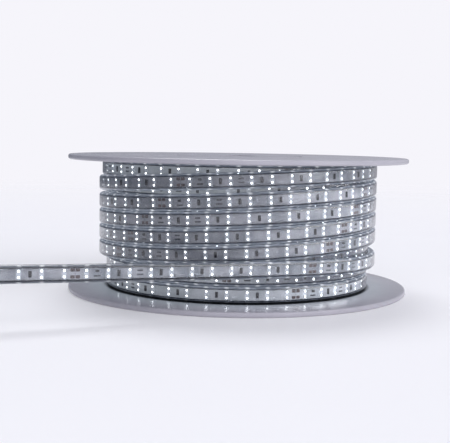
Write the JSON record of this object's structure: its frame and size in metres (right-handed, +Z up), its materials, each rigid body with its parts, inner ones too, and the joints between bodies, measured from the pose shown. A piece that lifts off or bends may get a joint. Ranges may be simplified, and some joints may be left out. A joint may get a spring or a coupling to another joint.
{
  "type": "led strip light on reel",
  "caption": "Flat LED strip in a clear sleeve, wound in layers on a two-flange reel, with the capped free end standing out to one side.",
  "frame": {"origin": "centre of the footprint of reel and free end together, on the floor", "axes": "+Z up along the reel's axis, -Y towards the viewer of the picture, +X to the right"},
  "size_m": [0.3714, 0.393, 0.124],
  "materials": {
    "flange_plastic": "satin light grey moulded plastic",
    "drum_board": "plain wound board tube",
    "wound_strip": "clear soft plastic over a pale circuit",
    "clear_sleeve": "clear extruded soft plastic",
    "circuit_ribbon": "pale solder-masked flexible circuit",
    "cap_silicone": "translucent silicone"
  },
  "bodies": {
    "root": {"bottom_flange": "flange_plastic", "top_flange": "flange_plastic", "drum_tube": "drum_board", "inner_layers": "wound_strip", "clear_sleeve": "clear_sleeve", "circuit_ribbon": "circuit_ribbon", "end_cap": "cap_silicone"}
  },
  "joints": []
}
